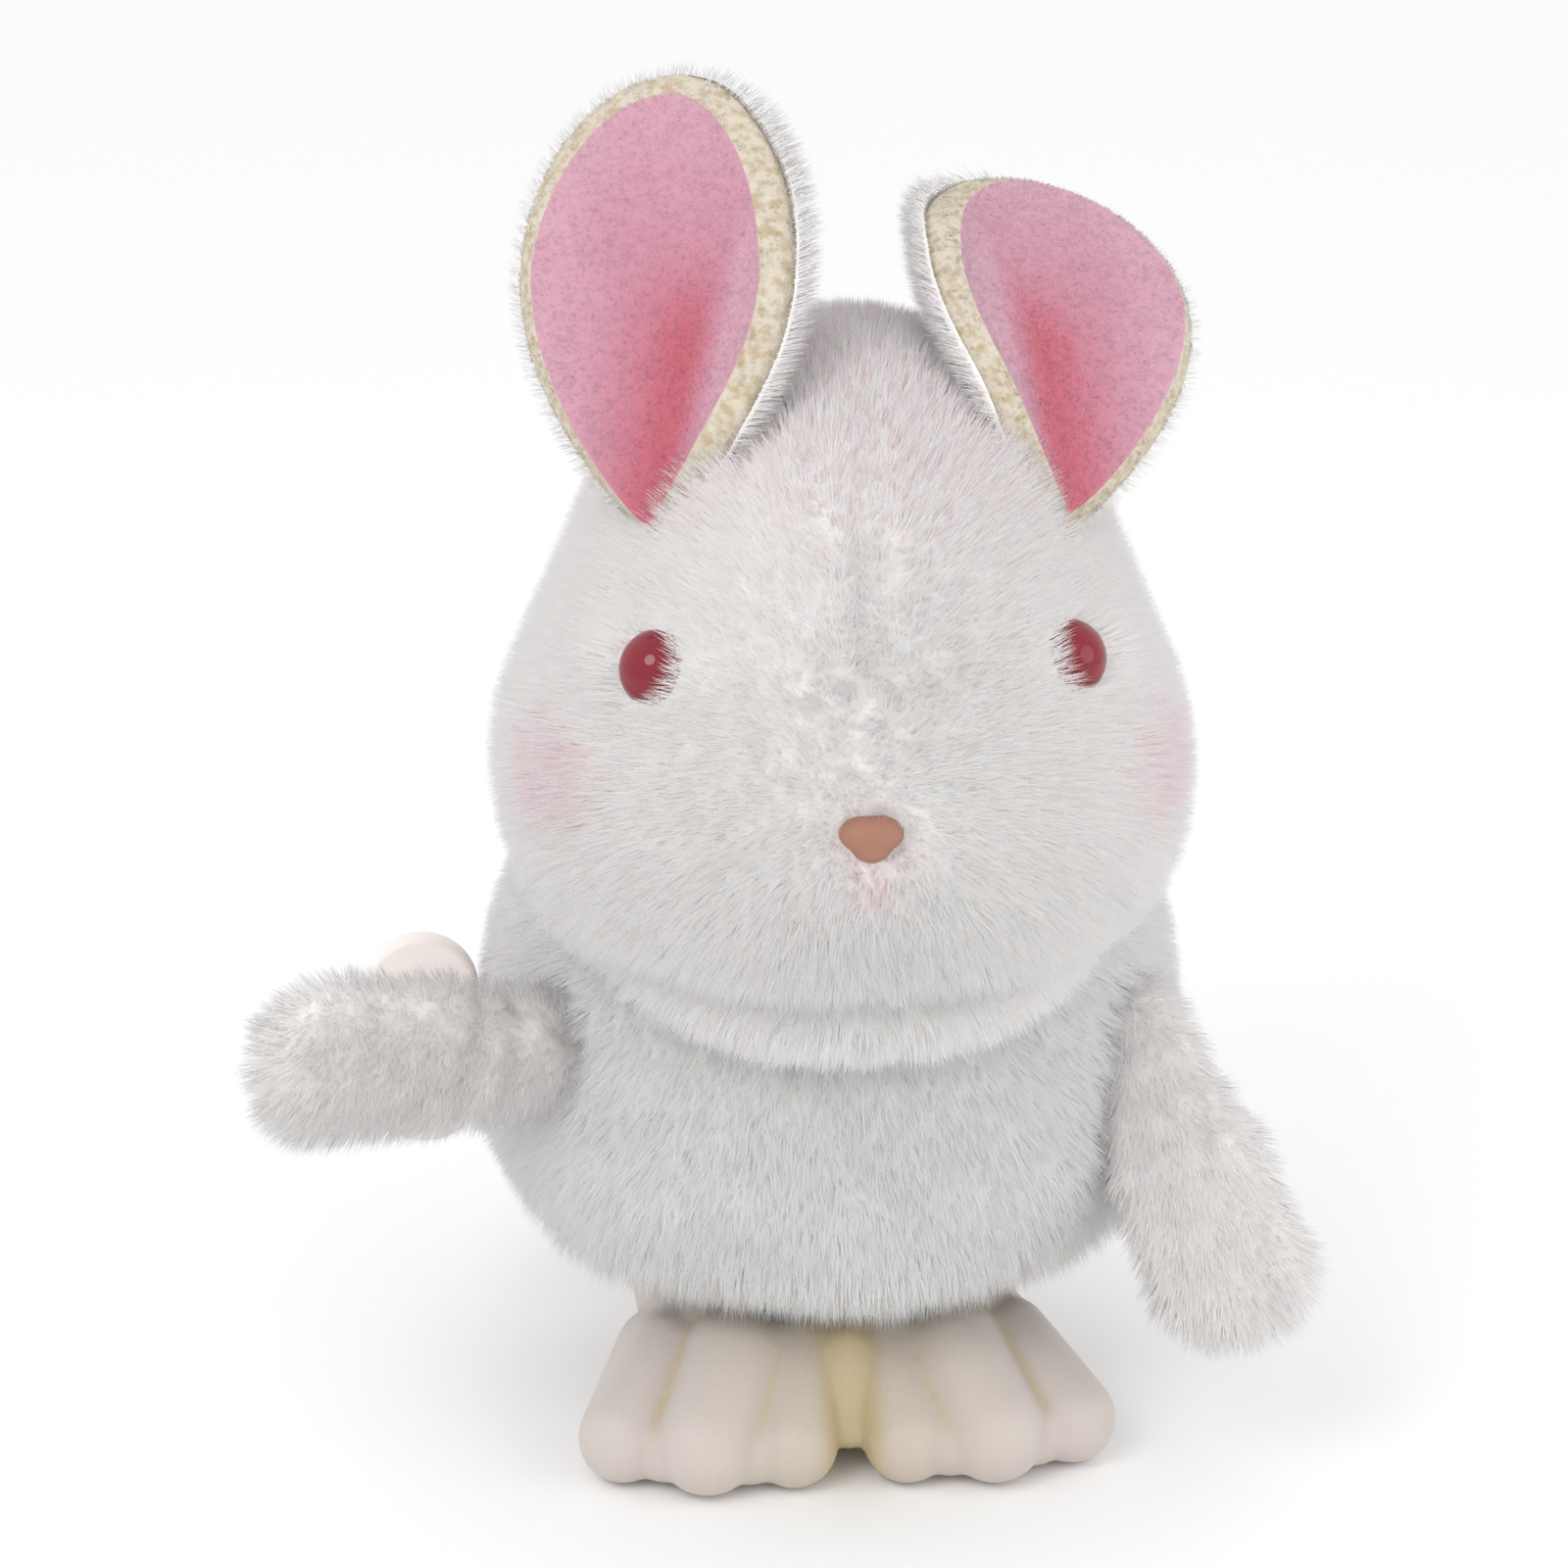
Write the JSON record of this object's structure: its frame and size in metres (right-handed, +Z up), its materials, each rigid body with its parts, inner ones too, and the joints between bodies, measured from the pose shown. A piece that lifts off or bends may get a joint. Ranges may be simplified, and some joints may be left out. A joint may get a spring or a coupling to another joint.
{
  "type": "clockwork plush rabbit",
  "caption": "Wind-up plush toy rabbit with lined ears, swinging arms and a side key; its gear train rocks hinged moulded feet so that it hops.",
  "frame": {"origin": "centre of the soles of the feet, on the surface the toy stands on", "axes": "+Z up through the head; the face looks along -Y; +X is the toy's left"},
  "size_m": [0.1115, 0.0904, 0.1501],
  "materials": {
    "white_plush": "long soft pile",
    "stuffing": "loose white fibre",
    "ear_plush": "short white pile",
    "ear_band": "bare woven backing with a sheen of old glue",
    "ear_lining": "pink velour",
    "eye": "glossy, dark red",
    "nose": "soft sheen",
    "washer": "moulded",
    "key_plastic": "satin moulded",
    "feet_vinyl": "soft vinyl with fine lines",
    "casing": "moulded",
    "steel": "plain",
    "spring_steel": "blued",
    "gear_brass": "plain"
  },
  "bodies": {
    "toy_body": {"head_plush": "white_plush", "head_stuffing": "stuffing", "body_plush": "white_plush", "body_padding": "stuffing", "tail": "white_plush", "ear_back_right": "ear_plush", "ear_back_left": "ear_plush", "ear_band_right": "ear_band", "ear_band_left": "ear_band", "ear_lining_right": "ear_lining", "ear_lining_left": "ear_lining", "eye_right": "eye", "eye_left": "eye", "eye_washer_right": "washer", "eye_washer_left": "washer", "nose": "nose", "nose_washer": "washer", "casing_left": "casing", "casing_right": "casing", "casing_screws": "steel", "base_plate": "casing", "mainspring": "spring_steel", "foot_pin": "steel", "foot_spring": "spring_steel"},
    "winding_key": {"key": "key_plastic", "key_arbor": "steel", "ratchet_wheel": "gear_brass"},
    "great_wheel_set": {"great_wheel": "gear_brass", "click": "gear_brass", "click_spring": "spring_steel"},
    "second_wheel_set": {"second_wheel": "gear_brass"},
    "third_wheel_set": {"third_wheel": "gear_brass"},
    "crankshaft": {"crank": "gear_brass"},
    "feet_set": {"feet": "feet_vinyl", "foot_lever": "steel", "foot_screws": "steel"},
    "right_arm": {"arm_right": "white_plush", "arm_stuffing_right": "stuffing"},
    "left_arm": {"arm_left": "white_plush", "arm_stuffing_left": "stuffing"}
  },
  "joints": [
    {"name": "key_turn", "type": "hinge", "parent": "toy_body", "child": "winding_key", "pos_m": [0, 0.004, 0.042], "axis": [1, 0, 0], "continuous": true},
    {"name": "great_wheel_turn", "type": "hinge", "parent": "toy_body", "child": "great_wheel_set", "pos_m": [0, 0.004, 0.042], "axis": [1, 0, 0], "continuous": true},
    {"name": "second_wheel_turn", "type": "hinge", "parent": "toy_body", "child": "second_wheel_set", "pos_m": [0, -0.00909, 0.05253], "axis": [1, 0, 0], "continuous": true},
    {"name": "third_wheel_turn", "type": "hinge", "parent": "toy_body", "child": "third_wheel_set", "pos_m": [0, -0.0113, 0.038], "axis": [1, 0, 0], "continuous": true},
    {"name": "crank_turn", "type": "hinge", "parent": "toy_body", "child": "crankshaft", "pos_m": [0, -0.00052, 0.02801], "axis": [1, 0, 0], "continuous": true},
    {"name": "foot_hinge", "type": "hinge", "parent": "toy_body", "child": "feet_set", "pos_m": [0, 0.006, 0.0155], "axis": [1, 0, 0], "range_deg": [0, 14], "stiffness_Nm_per_rad": 0.03, "springref_deg": -8.59},
    {"name": "right_shoulder", "type": "hinge", "parent": "toy_body", "child": "right_arm", "pos_m": [-0.0305, -0.0145, 0.0482], "axis": [0, 1, 0], "range_deg": [-82, 6]},
    {"name": "left_shoulder", "type": "hinge", "parent": "toy_body", "child": "left_arm", "pos_m": [0.0305, -0.0145, 0.0482], "axis": [0, -1, 0], "range_deg": [-2, 86]}
  ],
  "couplings": [
    {"joint": "great_wheel_turn", "follows": "key_turn", "ratio": 1},
    {"joint": "second_wheel_turn", "follows": "key_turn", "ratio": -3},
    {"joint": "third_wheel_turn", "follows": "key_turn", "ratio": 7.5},
    {"joint": "crank_turn", "follows": "key_turn", "ratio": -18.75}
  ]
}
